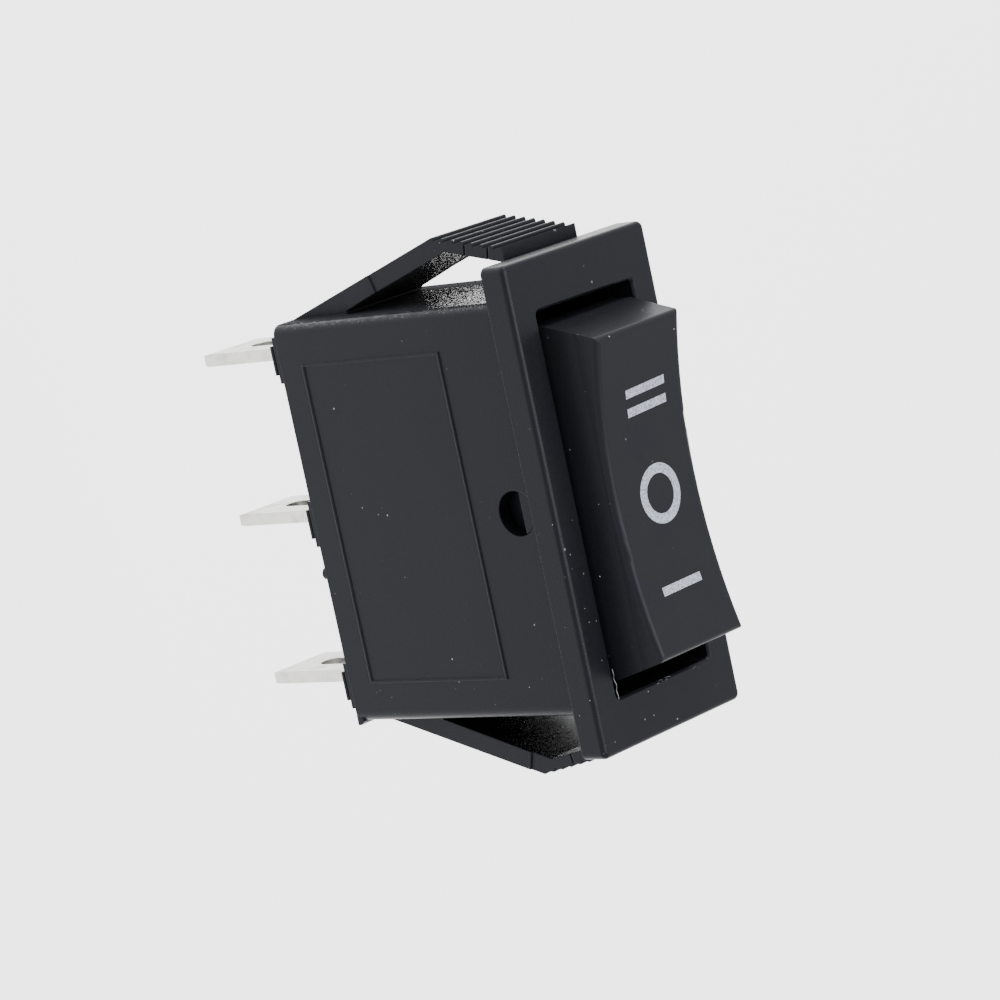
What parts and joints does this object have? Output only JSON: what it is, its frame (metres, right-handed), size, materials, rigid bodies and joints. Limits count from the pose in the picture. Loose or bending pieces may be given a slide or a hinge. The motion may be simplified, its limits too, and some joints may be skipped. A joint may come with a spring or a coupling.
{
  "type": "rocker switch",
  "caption": "Snap-in rocker switch: dished centre-off rocker in a rectangular bezel, toothed snap arms at both ends, tab terminals at the rear.",
  "frame": {"origin": "centre of the panel cut-out, in the plane of the bezel's underside, which seats on the panel", "axes": "+Z out of the panel towards the user, X along the rocker with the I end at +X and the II end at -X, -Y the long side with the frame line"},
  "size_m": [0.0346, 0.0136, 0.0359],
  "materials": {
    "housing_plastic": "fine-grained charcoal moulding",
    "rocker_plastic": "fine-grained charcoal moulding",
    "plunger_plastic": "natural acetal",
    "spring_steel": "drawn spring wire",
    "contact_brass": "stamped strip",
    "contact_silver": "silver contact rivet",
    "tinned_brass": "tin plate on brass"
  },
  "bodies": {
    "frame": {"housing": "housing_plastic", "terminal_1": "tinned_brass", "terminal_common": "tinned_brass", "terminal_2": "tinned_brass", "fixed_contact_1": "contact_silver", "fixed_contact_2": "contact_silver"},
    "rocker": {"rocker": "rocker_plastic", "spring": "spring_steel"},
    "plunger": {"plunger": "plunger_plastic"},
    "contact_arm": {"contact_arm": "contact_brass", "moving_contact_1": "contact_silver", "moving_contact_2": "contact_silver"}
  },
  "joints": [
    {"name": "rocker_hinge", "type": "hinge", "parent": "frame", "child": "rocker", "pos_m": [0, 0, -0.0021], "axis": [0, 1, 0], "range_deg": [-12, 12]},
    {"name": "contact_arm_hinge", "type": "hinge", "parent": "frame", "child": "contact_arm", "pos_m": [0, 0, -0.01599], "axis": [0, 1, 0], "range_deg": [-8.5, 8.5]},
    {"name": "plunger_slide", "type": "slide", "parent": "rocker", "child": "plunger", "axis": [0, 0, 1], "range_m": [0, 0.0006], "stiffness_N_per_m": 300, "deforming": ["spring"]}
  ],
  "couplings": [
    {"joint": "contact_arm_hinge", "follows": "rocker_hinge", "ratio": -0.70833}
  ]
}
